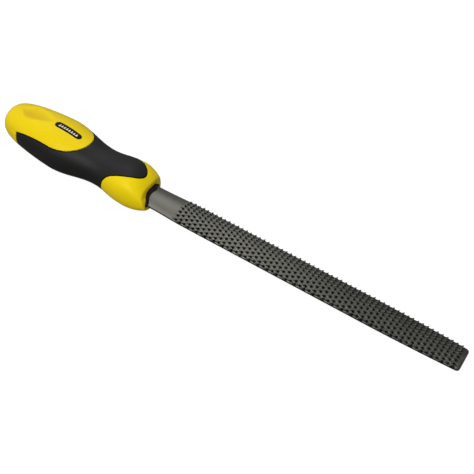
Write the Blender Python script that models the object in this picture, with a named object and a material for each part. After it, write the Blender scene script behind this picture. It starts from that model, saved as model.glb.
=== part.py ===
"""Half-round wood rasp with a two-colour moulded handle.

Lengths in this file are millimetres and angles are degrees; loft() turns lengths into metres.
+X runs along the blade to its tip and +Z points out of the rounded face, with the blade's two
edges towards -Y and +Y. Stations along X are counted from the handle's mouth, where the blade
enters the handle; ORIGIN_X is the station of the part's own origin, the middle of the heel's flat
underside. Angles round the handle start at the top line (+Z) and grow towards -Y.
"""
import math

import bmesh
import bpy

METRES = 0.001
ORIGIN_X = 11.0              # station of the part's origin, on the flat face of the heel
GAP = 0.3                    # clearance between neighbouring pieces

# Blade: a D section with a thin land along each edge
BLADE_LENGTH = 201.2         # handle mouth to tip
BLADE_WIDTH = 19.4
HEEL_WIDTH = 17.6            # where the blade enters the handle
TIP_WIDTH = 16.4
HEEL_RUN = 30.0              # length over which the heel widens
TAPER_START = 140.0          # from here the blade narrows to its tip
TIP_CORNER = 2.0             # corner radius at the tip, seen from above
LAND = 0.8                   # height of the flat edge land
CROWN = 4.05                 # height of the rounded face above the land
TIP_CROWN = 3.4
SHOULDER_X = -5.0            # rear end of the full-width blade, inside the handle
SHOULDER_RISE = 0.35         # the flat face lifts by this much towards the shoulder
FACE_COLUMNS = 16            # strips across each face
PLAIN_STATIONS = (0.0, 6.0, 12.0)
TIP_TURNS = (18.0, 45.0, 68.0, 90.0)
CORE_FACE_SPAN = 168.0       # degrees of a round section that match one face of the blade

# Tang
TANG_ROOT_X = -10.0
TANG_END_X = -56.0
TANG_MIDDLES = (-24.0, -40.0)
TANG_ROOT = (4.4, 1.8)       # half width, half height
TANG_POINT = (2.0, 1.3)
TANG_SQUARENESS = 5.0

# Teeth: punched in staggered rows on both faces, leaning towards the tip
FIRST_ROW_X = 21.25
LAST_ROW_X = 196.2
ROW_PITCH = 2.965
FIRST_RUN = 1.6              # smooth length that leads up to the first row
TOOTH_HEIGHT = 1.0
TOOTH_LEAN = 1.05
PIT_DEPTH = 0.3

# Handle body
BUTT_X = -107.4
BELLY_X = -66.2
WAIST_X = -35.2
COLLAR_X = -15.8
BELLY_RADIUS = 16.15
WAIST_RADIUS = 11.8
COLLAR_RADIUS = 14.05
BUTT_BLUNTNESS = (1.31, 0.22)
COLLAR_NOSE = 2.1
SIDE_STRETCH = 1.05          # the handle is a little wider than it is high
TOP_STRETCH = 0.947
BODY_SQUARENESS = 2.15
MOUTH_SQUARENESS = 2.6
MOUTH_HALF_WIDTH = 11.9
MOUTH_HALF_HEIGHT = 6.7
MOUTH_LIP = 0.8              # rounding of the mouth's outer edge
LIP_TURNS = (45.0, 90.0)
# The mouth's rim as (degrees, station): cut back on top and on the far side, reaching forward on the
# near side and underneath
RIM_KNOTS = ((-140.0, 0.6), (-115.0, -1.3), (-100.0, -1.9), (-86.0, -2.3), (-68.0, -2.3), (-35.0, -1.8),
             (15.0, -1.65), (47.0, -1.45), (70.0, -0.6), (90.0, 1.4), (112.0, 2.3), (180.0, 2.1))
AXIS_Z = 2.2                 # height of the handle's centre line at the mouth
AXIS_SLOPE = -0.034

# Bore for the tang core, and the core itself
OPENING_GROWTH = 1.15        # blade outline to the mouth opening
LINING_GROWTH = 0.85         # blade outline to the core's lining
# The front of the lining as (degrees, station)
LINING_KNOTS = ((-140.0, 0.2), (-115.0, -1.6), (-100.0, -2.2), (-84.0, -2.2), (-70.0, -0.4), (-50.0, 0.9),
                (15.0, 0.7), (47.0, 0.6), (70.0, 1.1), (90.0, 2.6), (103.0, 2.2), (115.0, 1.9), (180.0, 1.6))
LINING_REAR_X = -12.0
ROD_END_X = -66.0
ROD_START = (6.2, 2.7)       # half width, half height
ROD_END = (4.6, 3.0)
ROD_SQUARENESS = 2.4

# Soft grip: a sleeve in a recess of the hard shell
RECESS_DEPTH = 2.0
GRIP_SINK = 0.1
GRIP_REAR_X = -92.2
PANEL_TIP_X = -46.4          # front tip of the rear panel
PANEL_WIDE_X = -66.5         # where the panel's rounded nose meets its flanks
PANEL_HALF_ANGLE = 60.0
PANEL_CORNER_ANGLE = 71.5
PANEL_SQUARENESS = 2.2
FLANK_POWER = 2.7
LOBE_TIP_X = -5.6            # front tip of the grip's top lobe
TONGUE_X = -28.0             # rear end of the collar's side tongues
LOBE_HALF_ANGLE = 45.0
LOBE_POWER = 4.6
LOBE_NOSE = 0.9              # how far the lobe's tip is rounded back
LOBE_NOSE_ANGLE = 26.0
LOBE_TURN = 2.5              # the lobe sits this far over to the far side
UNDERSIDE_ADVANCE = 4.0      # the grip's front edge moves forward by this much underneath
UNDERSIDE_ANGLE = 95.0
MM_PER_DEGREE = 0.27         # arc length per degree on the handle's surface

# Scoop for the thumb, on the rear panel
SCOOP_X = (-98.0, -72.0)
SCOOP_WIDE_AT = 0.27         # share of its length where it is widest
SCOOP_HALF_ANGLE = 27.0
SCOOP_DEPTH = 1.3
SCOOP_POINT = 0.05           # the least share of the full width, at the two ends
SCOOP_ROUNDNESS = 0.75

# Badge
BADGE_X = (-71.0, -52.4)
BADGE_ANGLE = 4.0
BADGE_HALF_WIDTH = 2.1
BADGE_THICKNESS = 0.7
BADGE_PROUD = 0.1
BADGE_TURNS = (10.0, 35.0, 60.0, 90.0)
BADGE_SIDES = (-1.0, -0.5, 0.0, 0.5, 1.0)
CUTTER_CLEAR = 1.5           # how far a cutter stands clear of the surface it cuts

# Mesh resolution
HALF_COLUMNS = 46
EDGE_STEPS = 900
BUTT_SHARES = (0.1, 0.32, 0.46, 0.57, 0.66, 0.73)
PANEL_ROWS = 8
GRIP_ROWS = 7
COLLAR_ROWS = 7
SHARP_ANGLE = 35.0


def lerp(start, end, share):
    return start + (end - start) * share


def clamp(value):
    return min(max(value, 0.0), 1.0)


def ease(share):
    """Cosine ease from 0 to 1."""
    return 0.5 - 0.5 * math.cos(math.pi * clamp(share))


# ---------------------------------------------------------------- meshes and materials

def make_material(name, colour, roughness, metallic=0.0):
    material = bpy.data.materials.new(name)
    material.use_nodes = True
    shader = material.node_tree.nodes["Principled BSDF"]
    shader.inputs["Base Color"].default_value = (*colour, 1.0)
    shader.inputs["Roughness"].default_value = roughness
    shader.inputs["Metallic"].default_value = metallic
    return material


def loft(name, rings, material, tube=False):
    """Closed body through rings of equal length; a tube joins its last ring to its first."""
    mesh = bpy.data.meshes.new(name)
    bm = bmesh.new()
    rows = [[bm.verts.new([METRES * value for value in point]) for point in ring] for ring in rings]
    pairs = list(zip(rows, rows[1:]))
    if tube:
        pairs.append((rows[-1], rows[0]))
    for row, following in pairs:
        for index, vertex in enumerate(row):
            bm.faces.new((row[index - 1], vertex, following[index], following[index - 1]))
    if not tube:
        bm.faces.new(rows[0])
        bm.faces.new(rows[-1])
    bmesh.ops.recalc_face_normals(bm, faces=bm.faces)
    bm.to_mesh(mesh)
    bm.free()
    mesh.shade_smooth()
    mesh.set_sharp_from_angle(angle=math.radians(SHARP_ANGLE))
    mesh.materials.append(material)
    item = bpy.data.objects.new(name, mesh)
    item.location.x = -METRES * ORIGIN_X
    bpy.context.scene.collection.objects.link(item)
    return item


def cut(target, cutter):
    """Subtract the cutter, which stays in the file as a hidden guide."""
    modifier = target.modifiers.new("pocket", "BOOLEAN")
    modifier.operation = "DIFFERENCE"
    modifier.solver = "EXACT"
    modifier.object = cutter
    cutter.hide_render = True
    cutter.display_type = "WIRE"


# ---------------------------------------------------------------- blade

def blade_half_width(x):
    width = lerp(HEEL_WIDTH, BLADE_WIDTH, ease(x / HEEL_RUN))
    taper = clamp((x - TAPER_START) / (BLADE_LENGTH - TAPER_START))
    width -= (BLADE_WIDTH - TIP_WIDTH) * taper ** 2
    into_corner = TIP_CORNER * clamp((x - (BLADE_LENGTH - TIP_CORNER)) / TIP_CORNER)
    return width / 2 - TIP_CORNER + math.sqrt(TIP_CORNER ** 2 - into_corner ** 2)


def crown_height(x):
    taper = clamp((x - TAPER_START) / (BLADE_LENGTH - TAPER_START))
    return lerp(CROWN, TIP_CROWN, taper)


def d_section(half_width, crown, growth=0.0, rise=0.0):
    """(y, z, normal y, normal z) round the D section: over the crown, then back along the flat.

    Growth moves the crown out along its radius, and the edge lands straight out sideways.
    """
    radius = (half_width ** 2 + crown ** 2) / (2 * crown)
    half_angle = math.asin(half_width / radius)
    top = []
    flat = []
    for column in range(FACE_COLUMNS + 1):
        share = 2 * column / FACE_COLUMNS - 1
        side = share * half_angle
        outward = share if column in (0, FACE_COLUMNS) else math.sin(side)
        y = radius * math.sin(side) + growth * outward
        z = LAND + crown - radius + (radius + growth) * math.cos(side)
        top.append((y, z, math.sin(side), math.cos(side)))
        flat.append((-share * (half_width + growth), rise - growth, 0.0, -1.0))
    return top + flat


def blade_ring(x, growth=0.0):
    rise = SHOULDER_RISE * clamp(x / SHOULDER_X)
    section = d_section(blade_half_width(x), crown_height(x), growth, rise)
    return [(x, y, z) for y, z, _, _ in section]


def toothed_ring(row):
    """Blade ring whose alternate points are raised into teeth and sunk into pits."""
    x = FIRST_ROW_X + row * ROW_PITCH
    ring = []
    for index, (y, z, across, upward) in enumerate(d_section(blade_half_width(x), crown_height(x))):
        column = index % (FACE_COLUMNS + 1)
        if column in (0, FACE_COLUMNS):
            ring.append((x, y, z))
            continue
        is_tooth = (column + row) % 2 == 1
        lift = TOOTH_HEIGHT if is_tooth else -PIT_DEPTH
        lean = TOOTH_LEAN if is_tooth else 0.0
        ring.append((x + lean, y + across * lift, z + upward * lift))
    return ring


def tang_ring(x, growth=0.0):
    """Rounded-rectangle section, point for point in the order of the blade's section."""
    share = clamp((x - TANG_ROOT_X) / (TANG_END_X - TANG_ROOT_X))
    half_width = lerp(TANG_ROOT[0], TANG_POINT[0], share) + growth
    half_height = lerp(TANG_ROOT[1], TANG_POINT[1], share) + growth
    return oval_ring(x, half_width, half_height, TANG_SQUARENESS, core_angles())


def build_blade(material):
    rings = [tang_ring(x) for x in (TANG_END_X, *reversed(TANG_MIDDLES), TANG_ROOT_X)]
    rings += [blade_ring(x) for x in (SHOULDER_X, *PLAIN_STATIONS, FIRST_ROW_X - FIRST_RUN)]
    row_count = round((LAST_ROW_X - FIRST_ROW_X) / ROW_PITCH) + 1
    rings += [toothed_ring(row) for row in range(row_count)]
    for degrees in TIP_TURNS:
        x = BLADE_LENGTH - TIP_CORNER + TIP_CORNER * math.sin(math.radians(degrees))
        rings.append(blade_ring(min(x, BLADE_LENGTH)))
    return loft("rasp_blade", rings, material)


# ---------------------------------------------------------------- handle surface

def axis_z(x):
    return AXIS_Z + AXIS_SLOPE * x


def oval_radius(angle, half_width, half_height, squareness):
    """Distance from an oval's centre to its outline at an angle from the top."""
    across = abs(math.sin(angle)) / half_width
    upward = abs(math.cos(angle)) / half_height
    return (across ** squareness + upward ** squareness) ** (-1 / squareness)


def oval_ring(x, half_width, half_height, squareness, angles):
    ring = []
    for angle in angles:
        radius = oval_radius(angle, half_width, half_height, squareness)
        ring.append((x, -radius * math.sin(angle), axis_z(x) + radius * math.cos(angle)))
    return ring


def body_radius(x):
    """Mean radius from the blunt butt over the belly and waist to the collar."""
    if x < BELLY_X:
        share = clamp((BELLY_X - x) / (BELLY_X - BUTT_X))
        return BELLY_RADIUS * (1 - share ** BUTT_BLUNTNESS[0]) ** BUTT_BLUNTNESS[1]
    if x < WAIST_X:
        return lerp(BELLY_RADIUS, WAIST_RADIUS, ease((x - BELLY_X) / (WAIST_X - BELLY_X)))
    return lerp(WAIST_RADIUS, COLLAR_RADIUS, ease((x - WAIST_X) / (COLLAR_X - WAIST_X)))


def butt_station(radius_share):
    """The x where the butt's radius is this share of the belly's."""
    share = (1 - radius_share ** (1 / BUTT_BLUNTNESS[1])) ** (1 / BUTT_BLUNTNESS[0])
    return lerp(BELLY_X, BUTT_X, share)


def closed_curve(knots):
    """Smooth function of an angle round the handle that passes through the (degrees, value) knots."""
    turned = [(degrees + turn, value) for turn in (-360.0, 0.0, 360.0) for degrees, value in knots]

    def curve(angle):
        degrees = math.degrees(math.remainder(angle, 2 * math.pi))
        after = next(index for index, (place, _) in enumerate(turned) if place >= degrees)
        before, start, end, following = turned[after - 2:after + 2]
        width = end[0] - start[0]
        share = (degrees - start[0]) / width
        leave = width * (end[1] - before[1]) / (end[0] - before[0])
        arrive = width * (following[1] - start[1]) / (following[0] - start[0])
        rise = share ** 2 * (3 - 2 * share)
        return (lerp(start[1], end[1], rise) + leave * share * (1 - share) ** 2
                - arrive * share ** 2 * (1 - share))

    return curve


rim_x = closed_curve(RIM_KNOTS)
lining_x = closed_curve(LINING_KNOTS)


def body_section(x, angle):
    """Half width, half height and squareness of the outline that passes through x at this angle."""
    radius = body_radius(x)
    nose = clamp((x - COLLAR_X) / (rim_x(angle) - COLLAR_X))
    fullness = 1 - nose ** COLLAR_NOSE
    half_width = lerp(MOUTH_HALF_WIDTH, radius * SIDE_STRETCH, fullness)
    half_height = lerp(MOUTH_HALF_HEIGHT, radius * TOP_STRETCH, fullness)
    return half_width, half_height, lerp(BODY_SQUARENESS, MOUTH_SQUARENESS, nose)


def scoop_depth(x, angle):
    """Depth of the teardrop scoop: wide near the butt, narrowing to a point in front."""
    along = (x - SCOOP_X[0]) / (SCOOP_X[1] - SCOOP_X[0])
    if not 0 < along < 1:
        return 0.0
    if along < SCOOP_WIDE_AT:
        width = math.sin(math.pi / 2 * along / SCOOP_WIDE_AT)
    else:
        width = math.cos(math.pi / 2 * (along - SCOOP_WIDE_AT) / (1 - SCOOP_WIDE_AT))
    degrees = abs(math.degrees(math.remainder(angle, 2 * math.pi)))
    across = degrees / (SCOOP_HALF_ANGLE * max(width, SCOOP_POINT))
    return SCOOP_DEPTH * width * max(0.0, 1 - across ** 2) ** SCOOP_ROUNDNESS


def surface_point(x, angle, inset=0.0):
    radius = oval_radius(angle, *body_section(x, angle)) - inset - scoop_depth(x, angle)
    return (x, -radius * math.sin(angle), axis_z(x) + radius * math.cos(angle))


def surface_ring(edge, inset=0.0):
    """Ring through one (x, angle) place per column."""
    return [surface_point(x, angle, inset) for x, angle in edge]


def between(first, second, share):
    """Places at a share of the way from one edge to another."""
    return [(lerp(a[0], b[0], share), lerp(a[1], b[1], share)) for a, b in zip(first, second)]


# ---------------------------------------------------------------- colour breaks

def panel_edge(travel):
    """(x, degrees) along half of the rear panel's edge, for travel 0 to 3.

    0 to 1 is the rounded nose, 1 to 2 the flank, and 2 to 3 the straight rear edge underneath.
    """
    if travel <= 1:
        turn = math.pi / 2 * travel
        reach = max(math.cos(turn), 0.0) ** (2 / PANEL_SQUARENESS)
        spread = math.sin(turn) ** (2 / PANEL_SQUARENESS)
        return lerp(PANEL_WIDE_X, PANEL_TIP_X, reach), PANEL_HALF_ANGLE * spread
    if travel <= 2:
        share = travel - 1
        angle = lerp(PANEL_HALF_ANGLE, PANEL_CORNER_ANGLE, share ** FLANK_POWER)
        return lerp(PANEL_WIDE_X, GRIP_REAR_X, share), angle
    return GRIP_REAR_X, lerp(PANEL_CORNER_ANGLE, 180.0, travel - 2)


def lobe_edge_x(degrees):
    """The grip's front edge: a lobe on the top line that falls back to the side tongues."""
    turned = degrees ** LOBE_POWER
    fall = turned / (turned + LOBE_HALF_ANGLE ** LOBE_POWER)
    under = ease((degrees - UNDERSIDE_ANGLE) / (180.0 - UNDERSIDE_ANGLE))
    nose = LOBE_NOSE * ease(degrees / LOBE_NOSE_ANGLE)
    return lerp(LOBE_TIP_X, TONGUE_X, fall) - nose + UNDERSIDE_ADVANCE * under


def opening_corner_angles():
    """Angles of the mouth opening's two corners on one side."""
    half_width = blade_half_width(0.0) + OPENING_GROWTH
    heights = (LAND, -OPENING_GROWTH)
    return [math.degrees(math.atan2(half_width, z - AXIS_Z)) for z in heights]


def half_edge():
    """(x, degrees) for the columns of one side, spaced evenly along both colour breaks."""
    steps = [panel_edge(3 * step / EDGE_STEPS) for step in range(EDGE_STEPS + 1)]
    lengths = [0.0]
    for (x, angle), (next_x, next_angle) in zip(steps, steps[1:]):
        lobe_step = lobe_edge_x(next_angle) - lobe_edge_x(angle)
        arc_step = MM_PER_DEGREE * (next_angle - angle)
        lengths.append(lengths[-1] + math.hypot(next_x - x, lobe_step, arc_step))
    places = []
    index = 0
    for column in range(HALF_COLUMNS):
        wanted = lengths[-1] * column / HALF_COLUMNS
        while lengths[index] < wanted:
            index += 1
        places.append(steps[index])
    places.append(steps[-1])
    corners = opening_corner_angles() + [PANEL_CORNER_ANGLE]
    for corner in corners:
        nearest = min(range(1, HALF_COLUMNS), key=lambda column: abs(places[column][1] - corner))
        places[nearest] = (places[nearest][0], corner)
    return places


def break_edges():
    """The rear and front colour breaks all round, as (x, angle) for each column."""
    near_side = half_edge()
    far_side = [(x, 360.0 - degrees) for x, degrees in reversed(near_side[1:-1])]
    rear = [(x, math.radians(degrees)) for x, degrees in near_side + far_side]
    front = []
    for _, angle in rear:
        turned = math.remainder(angle + math.radians(LOBE_TURN), 2 * math.pi)
        front.append((lobe_edge_x(abs(math.degrees(turned))), angle))
    return rear, front


def shift_edge(edge, distance):
    """Move an edge sideways along the surface; a positive distance moves it forward."""
    moved = []
    arc = math.degrees(1.0) * MM_PER_DEGREE
    for index, (x, angle) in enumerate(edge):
        x_before, angle_before = edge[index - 1]
        x_after, angle_after = edge[(index + 1) % len(edge)]
        run = math.remainder(angle_after - angle_before, 2 * math.pi) * arc
        rise = x_after - x_before
        length = math.hypot(run, rise)
        moved.append((x + distance * run / length, angle - distance * rise / length / arc))
    return moved


# ---------------------------------------------------------------- hard shell

def opening_ring(stations, angles):
    """The mouth opening: the blade's D outline, grown, met by a ray at each column's angle."""
    base_width = blade_half_width(0.0)
    half_width = base_width + OPENING_GROWTH
    radius = (base_width ** 2 + CROWN ** 2) / (2 * CROWN)
    arc_offset = LAND + CROWN - radius - AXIS_Z
    arc_radius = radius + OPENING_GROWTH
    ring = []
    for x, angle in zip(stations, angles):
        across = abs(math.sin(angle))
        upward = math.cos(angle)
        along = upward * arc_offset
        reach = along + math.sqrt(along ** 2 - arc_offset ** 2 + arc_radius ** 2)
        if across > 0:
            reach = min(reach, half_width / across)
        if upward < 0:
            reach = min(reach, (AXIS_Z + OPENING_GROWTH) / -upward)
        ring.append((x, -reach * math.sin(angle), AXIS_Z + reach * upward))
    return ring


def mouth_rings(angles):
    """The rounded outer lip of the mouth, then the way in to the blind end of the bore."""
    rings = []
    for degrees in LIP_TURNS:
        turn = math.radians(degrees)
        back = MOUTH_LIP * (math.sin(turn) - 1)
        drop = MOUTH_LIP * (1 - math.cos(turn))
        rings.append(surface_ring([(rim_x(angle) + back, angle) for angle in angles], drop))
    rings.append(opening_ring([rim_x(angle) for angle in angles], angles))
    rings.append(opening_ring([LINING_REAR_X - GAP] * len(angles), angles))
    for x, (half_width, half_height) in ((LINING_REAR_X, ROD_START), (ROD_END_X, ROD_END)):
        rings.append(oval_ring(x - GAP, half_width + GAP, half_height + GAP, ROD_SQUARENESS, angles))
    return rings


def build_shell(material):
    rear, front = break_edges()
    angles = [angle for _, angle in rear]
    rings = [surface_ring([(butt_station(share), angle) for angle in angles]) for share in BUTT_SHARES]
    last_butt = [(butt_station(BUTT_SHARES[-1]), angle) for angle in angles]
    rings += [surface_ring(between(last_butt, rear, row / PANEL_ROWS)) for row in range(1, PANEL_ROWS + 1)]
    rings += [surface_ring(between(rear, front, row / GRIP_ROWS), RECESS_DEPTH)
              for row in range(GRIP_ROWS + 1)]
    lip = [(rim_x(angle) - MOUTH_LIP, angle) for angle in angles]
    rings += [surface_ring(between(front, lip, row / COLLAR_ROWS)) for row in range(COLLAR_ROWS + 1)]
    rings += mouth_rings(angles)
    shell = loft("handle_shell", rings, material)
    cut(shell, badge_body("badge_cutter", GAP, -CUTTER_CLEAR, BADGE_THICKNESS + GAP, material))
    return shell


def build_grip(material):
    rear, front = break_edges()
    rear = shift_edge(rear, GAP)
    front = shift_edge(front, -GAP)
    places = [between(rear, front, row / GRIP_ROWS) for row in range(GRIP_ROWS + 1)]
    rings = [surface_ring(edge, GRIP_SINK) for edge in places]
    rings += [surface_ring(edge, RECESS_DEPTH - GAP) for edge in reversed(places)]
    return loft("soft_grip", rings, material, tube=True)


# ---------------------------------------------------------------- tang core and badge

def core_angles():
    """Angles that match the order of the blade section's points, with a gap for each edge land."""
    span = math.radians(CORE_FACE_SPAN)
    top = [span * (0.5 - column / FACE_COLUMNS) for column in range(FACE_COLUMNS + 1)]
    return top + [angle + math.pi for angle in top]


def build_core(material):
    angles = core_angles()
    outside = [
        oval_ring(ROD_END_X, *ROD_END, ROD_SQUARENESS, angles),
        oval_ring(LINING_REAR_X, *ROD_START, ROD_SQUARENESS, angles),
        lining_ring(LINING_GROWTH, LINING_REAR_X),
        lining_ring(LINING_GROWTH),
    ]
    inside = [lining_ring(GAP), blade_ring(SHOULDER_X - GAP, GAP)]
    inside += [tang_ring(x, GAP) for x in (TANG_ROOT_X - GAP, *TANG_MIDDLES, TANG_END_X)]
    inside.append(oval_ring(TANG_END_X - GAP, *TANG_POINT, TANG_SQUARENESS, angles))
    return loft("tang_core", outside + inside, material)


def lining_ring(growth, station=None):
    """Ring round the blade at a station, or along the lining's front."""
    ring = []
    for y, z, _, _ in d_section(blade_half_width(0.0), CROWN, growth):
        front = lining_x(math.atan2(-y, z - AXIS_Z))
        ring.append((front if station is None else station, y, z))
    return ring


def badge_body(name, growth, outer_inset, inner_inset, material):
    """Stadium-shaped slab that follows the handle's surface between two insets."""
    half_length = (BADGE_X[1] - BADGE_X[0]) / 2 + growth
    half_width = BADGE_HALF_WIDTH + growth
    centre_x = (BADGE_X[0] + BADGE_X[1]) / 2
    straight = half_length - half_width
    stations = [(-straight - half_width * math.cos(turn), half_width * math.sin(turn))
                for turn in [math.radians(degrees) for degrees in BADGE_TURNS]]
    stations.append((0.0, half_width))
    stations += [(-x, width) for x, width in reversed(stations[:-1])]
    rings = []
    for offset, width in stations:
        spread = width / MM_PER_DEGREE
        angles = [math.radians(BADGE_ANGLE + side * spread) for side in BADGE_SIDES]
        x = centre_x + offset
        outer = [surface_point(x, angle, outer_inset) for angle in angles]
        inner = [surface_point(x, angle, inner_inset) for angle in reversed(angles)]
        rings.append(outer + inner)
    return loft(name, rings, material)


def main():
    for item in list(bpy.data.objects):
        bpy.data.objects.remove(item, do_unlink=True)
    steel = make_material("tool_steel", (0.16, 0.155, 0.14), 0.42, 0.9)
    yellow = make_material("yellow_plastic", (0.83, 0.64, 0.01), 0.38)
    black_rubber = make_material("black_soft_plastic", (0.018, 0.019, 0.019), 0.55)
    black_plastic = make_material("black_hard_plastic", (0.012, 0.012, 0.012), 0.45)
    badge_print = make_material("badge_plastic", (0.01, 0.01, 0.01), 0.3)
    build_blade(steel)
    build_core(black_plastic)
    build_shell(yellow)
    build_grip(black_rubber)
    badge_body("badge", 0.0, -BADGE_PROUD, BADGE_THICKNESS, badge_print)


main()
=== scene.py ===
"""Looks of the half-round wood rasp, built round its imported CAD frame.

Lengths in the shape functions are millimetres and angles are degrees. Stations along X are counted
from the handle's mouth, where the blade enters the handle, and grow towards the blade's tip. Angles
round the handle start at the top line (+Z) and grow towards -Y. to_frame() turns a point into metres
in the frame's own coordinates.
"""

import math
import random
from functools import partial

import bmesh
import bpy
from mathutils import Matrix, Vector


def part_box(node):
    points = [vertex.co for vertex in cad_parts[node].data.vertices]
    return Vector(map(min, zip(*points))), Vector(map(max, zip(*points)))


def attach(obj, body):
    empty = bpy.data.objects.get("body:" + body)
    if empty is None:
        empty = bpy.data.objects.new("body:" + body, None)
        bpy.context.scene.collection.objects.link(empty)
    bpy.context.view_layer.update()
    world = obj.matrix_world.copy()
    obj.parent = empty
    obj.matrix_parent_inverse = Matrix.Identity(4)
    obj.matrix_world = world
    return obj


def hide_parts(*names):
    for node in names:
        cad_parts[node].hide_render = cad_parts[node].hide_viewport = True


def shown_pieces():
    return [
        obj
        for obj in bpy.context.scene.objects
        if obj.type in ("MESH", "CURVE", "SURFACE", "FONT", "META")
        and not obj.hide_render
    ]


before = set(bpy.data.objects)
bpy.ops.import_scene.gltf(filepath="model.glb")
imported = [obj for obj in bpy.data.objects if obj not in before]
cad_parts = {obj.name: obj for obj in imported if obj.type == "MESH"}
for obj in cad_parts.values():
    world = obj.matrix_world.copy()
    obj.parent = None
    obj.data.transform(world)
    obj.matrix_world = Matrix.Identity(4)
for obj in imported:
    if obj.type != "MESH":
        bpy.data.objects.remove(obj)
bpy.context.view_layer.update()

METRES = 0.001
GAP = 0.3                    # clearance between neighbouring pieces

# Blade: a D section with a thin land along each edge
BLADE_LENGTH = 201.2
TIP_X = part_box("rasp_blade")[1].x / METRES
ORIGIN_X = BLADE_LENGTH - TIP_X      # station of the frame's origin
BLADE_WIDTH = 19.4
HEEL_WIDTH = 17.6
TIP_WIDTH = 16.4
HEEL_RUN = 30.0              # length over which the heel widens
TAPER_START = 140.0          # from here the blade narrows to its tip
TIP_CORNER = 2.0             # corner radius at the tip, seen from above
TIP_ROUNDING = 0.22          # rounding round the tip's end face
LAND = 0.8                   # height of the flat edge land
LAND_ROUNDING = 0.1
CROWN = 4.05                 # height of the rounded face above the land
TIP_CROWN = 3.4
SHOULDER_X = -5.0            # rear end of the full-width blade, inside the handle
SHOULDER_RISE = 0.35
FACE_COLUMNS = 16            # tooth columns across each face
SAMPLES_PER_COLUMN = 5
FACE_SPAN = 168.0            # degrees of a round section that match one face of the blade
LAND_ANGLES = (87.0, 93.0)
PLAIN_STATIONS = (0.0, 4.0, 8.0, 12.0, 16.0, 19.0)

# Tang
TANG_ROOT_X = -10.0
TANG_END_X = -56.0
TANG_ROOT = (4.4, 1.8)       # half width, half height
TANG_POINT = (2.0, 1.3)
TANG_SQUARENESS = 5.0

# Teeth: punched in staggered rows, each a rising burr, a steep front and a pit towards the tip
FIRST_TOOTH_X = 22.3
LAST_TOOTH_X = 197.2
ROW_PITCH = 2.965
TOOTH_HEIGHT = 1.1
TOOTH_RUN = 1.9              # length of the rising back
TOOTH_BASE = 0.72            # half width of the back at its root, in columns
TOOTH_POINT = 0.3            # half width at the point, in columns
TOOTH_CURVE = 1.5
PIT_RUN = 1.55
PIT_DEPTH = 0.4
PIT_WIDE = 0.78
PIT_NARROW = 0.3
TOOTH_FLANK = 1.6            # how full a tooth is across its width
PIT_FADE = 0.8
EDGE_COLUMN = 0.6            # the outermost teeth stand this far in from the edge, in columns
ROW_STATIONS = (-1.9, -1.4, -0.95, -0.55, -0.22, 0.0, 0.12, 0.4, 0.72)   # from a tooth's point
# Painted light on the teeth: painted shade on each steep front and in its pit, a painted highlight on its
# back
PAINTED_SHADE_RUN = 0.75             # length of the painted shade in front of a tooth's point
PAINTED_SHADE_END = 1.3
PAINTED_SHADE_HALF_WIDTH = 0.74      # half width of the painted shade, in columns
# Painted shade along the blade's two edges: on the outermost samples of each face, and in full on the edge
# lands
EDGE_PAINTED_SHADE = 0.8
HEIGHT_SCATTER = 0.12
PLACE_SCATTER = 0.1

# Handle body
BUTT_X = -107.4
BELLY_X = -66.2
WAIST_X = -35.2
COLLAR_X = -15.8
BELLY_RADIUS = 16.15
WAIST_RADIUS = 11.8
COLLAR_RADIUS = 14.05
BUTT_BLUNTNESS = (1.31, 0.22)
COLLAR_NOSE = 2.1
SIDE_STRETCH = 1.05
TOP_STRETCH = 0.947
BODY_SQUARENESS = 2.15
MOUTH_SQUARENESS = 2.6
MOUTH_HALF_WIDTH = 11.9
MOUTH_HALF_HEIGHT = 6.7
MOUTH_LIP = 0.8
# The mouth's rim and the lining's front as (degrees, station): cut back on top and on the far side,
# reaching forward on the near side and underneath
RIM_KNOTS = ((-140.0, 0.6), (-115.0, -1.3), (-100.0, -1.9), (-86.0, -2.3), (-68.0, -2.3), (-35.0, -1.8),
             (15.0, -1.65), (47.0, -1.45), (70.0, -0.6), (90.0, 1.4), (112.0, 2.3), (180.0, 2.1))
LINING_KNOTS = ((-140.0, 0.2), (-115.0, -1.6), (-100.0, -2.2), (-84.0, -2.2), (-70.0, -0.4), (-50.0, 0.9),
                (15.0, 0.7), (47.0, 0.6), (70.0, 1.1), (90.0, 2.6), (103.0, 2.2), (115.0, 1.9), (180.0, 1.6))
AXIS_Z = 2.2
AXIS_SLOPE = -0.034

# Bore for the tang core
OPENING_GROWTH = 1.15
OPENING_ROUNDING = 0.2
LINING_ROUNDING = 0.2
LINING_GROWTH = 0.85         # blade outline to the core's lining
LINING_REAR_X = -12.0
ROD_END_X = -66.0
ROD_START = (6.2, 2.7)
ROD_END = (4.6, 3.0)
ROD_SQUARENESS = 2.4

# Soft grip and colour breaks
RECESS_DEPTH = 2.0
GRIP_SINK = 0.1
SHELL_ROUNDING = 0.3
GRIP_ROUNDING = 0.45
GRIP_REAR_X = -92.2
PANEL_TIP_X = -46.4
PANEL_WIDE_X = -66.5
PANEL_HALF_ANGLE = 60.0
PANEL_CORNER_ANGLE = 71.5
PANEL_SQUARENESS = 2.2
FLANK_POWER = 2.7
LOBE_TIP_X = -5.6
TONGUE_X = -28.0
LOBE_HALF_ANGLE = 45.0
LOBE_POWER = 4.6
LOBE_NOSE = 0.9              # how far the lobe's tip is rounded back
LOBE_NOSE_ANGLE = 26.0
LOBE_TURN = 2.5              # the lobe sits this far over to the far side
UNDERSIDE_ADVANCE = 4.0
UNDERSIDE_ANGLE = 95.0
MM_PER_DEGREE = 0.27         # arc length per degree on the handle's surface

# Thumb scoop
SCOOP_X = (-98.0, -72.0)
SCOOP_WIDE_AT = 0.27
SCOOP_HALF_ANGLE = 27.0
SCOOP_DEPTH = 1.3
SCOOP_POINT = 0.05           # the least share of the full width, at the two ends
SCOOP_ROUNDNESS = 0.75
# Painted shade in the scoop, darkest against its near wall
SCOOP_MIDDLE_PAINTED_SHADE = 0.5
SCOOP_SIDE_PAINTED_SHADE = 0.7       # painted shade added towards the near wall, taken away towards the far one
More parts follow.
